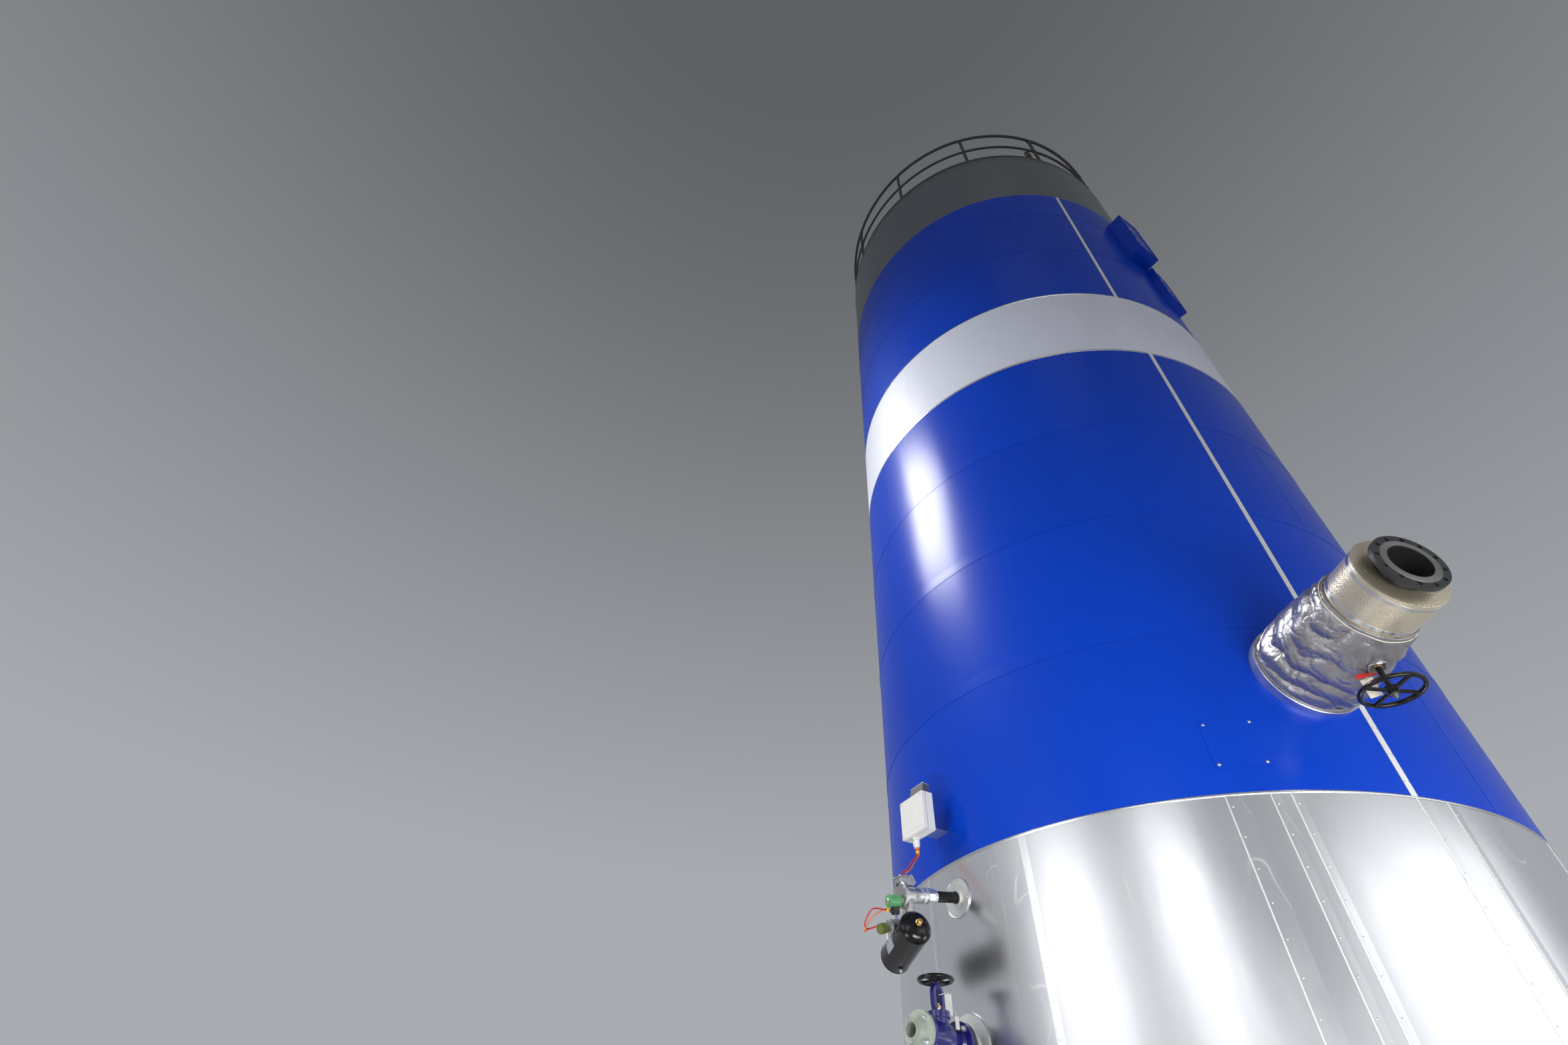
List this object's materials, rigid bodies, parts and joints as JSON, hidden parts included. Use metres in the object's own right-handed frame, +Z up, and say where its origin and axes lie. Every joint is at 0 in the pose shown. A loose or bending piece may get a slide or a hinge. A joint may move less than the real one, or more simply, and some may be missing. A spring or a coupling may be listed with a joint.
{
  "type": "upright industrial boiler",
  "caption": "Upright clad boiler shell with railed roof, jacketed outlet valve, drain valve and pulse cleaning set.",
  "frame": {"origin": "centre of the anchor bolt circle on the floor, on the vessel's axis", "axes": "+Z up along the vessel's axis; -Y is the front, and +X is to the right seen from the front"},
  "size_m": [3.9998, 4.6237, 13.732],
  "materials": {
    "black_steel": "semi-gloss black paint",
    "bare_sheet": "bare rolled sheet, wavy and scratched",
    "blue_sheet": "semi-gloss coated sheet",
    "white_sheet": "semi-gloss white paint on sheet",
    "casing_steel": "dull grey plate",
    "valve_blue": "enamel on cast iron",
    "cast_aluminium": "die-cast, dull",
    "black_enamel": "glossy black enamel",
    "jacket_cloth": "aluminised glass cloth, quilted",
    "stucco_sheet": "stucco-embossed sheet",
    "flange_green": "matt grey-green primer",
    "green_plastic": "moulded green cap",
    "white_plastic": "moulded light grey enclosure",
    "wire_cover": "red insulated wires"
  },
  "bodies": {
    "boiler": {"base_ring": "black_steel", "anchor_chairs": "black_steel", "pressure_shell": "black_steel", "bottom_plate": "black_steel", "bare_cladding": "bare_sheet", "blue_cladding_lower": "blue_sheet", "white_band": "white_sheet", "blue_cladding_upper": "blue_sheet", "top_casing": "casing_steel", "roof_plate": "casing_steel", "toe_ring": "black_steel", "rail_posts": "black_steel", "mid_rail": "black_steel", "top_rail": "black_steel", "cover_strips_lower": "bare_sheet", "cover_strips_upper": "bare_sheet", "screwed_plate": "blue_sheet", "upper_side_box": "blue_sheet", "lower_side_box": "blue_sheet", "safety_valve": "black_steel", "vent_valve": "black_steel", "nozzle_collar": "bare_sheet", "outlet_nozzle": "black_steel", "outlet_valve": "valve_blue", "valve_jacket": "jacket_cloth", "outlet_lagging": "stucco_sheet", "outlet_stub": "black_steel", "drain_rosette": "bare_sheet", "drain_nozzle": "black_steel", "drain_valve": "valve_blue", "drain_yoke": "valve_blue", "drain_counter_flange": "flange_green", "cleaning_rosette": "bare_sheet", "cleaning_nipple": "black_steel", "cleaning_union": "cast_aluminium", "pulse_valve": "cast_aluminium", "pulse_solenoid": "green_plastic", "air_receiver": "black_enamel", "receiver_neck": "cast_aluminium", "junction_box": "white_plastic", "junction_bracket": "black_steel", "cable_gland": "white_plastic", "wire_loom": "wire_cover"},
    "outlet_wheel": {"outlet_handwheel": "black_enamel"},
    "drain_wheel": {"drain_handwheel": "black_enamel"}
  },
  "joints": [
    {"name": "outlet_wheel_turn", "type": "hinge", "parent": "boiler", "child": "outlet_wheel", "pos_m": [1.21262, -2.11735, 3.551], "axis": [0, 0, -1], "continuous": true},
    {"name": "drain_wheel_turn", "type": "hinge", "parent": "boiler", "child": "drain_wheel", "pos_m": [-1.27765, -1.84869, 2.583], "axis": [0, 0, 1], "continuous": true}
  ]
}
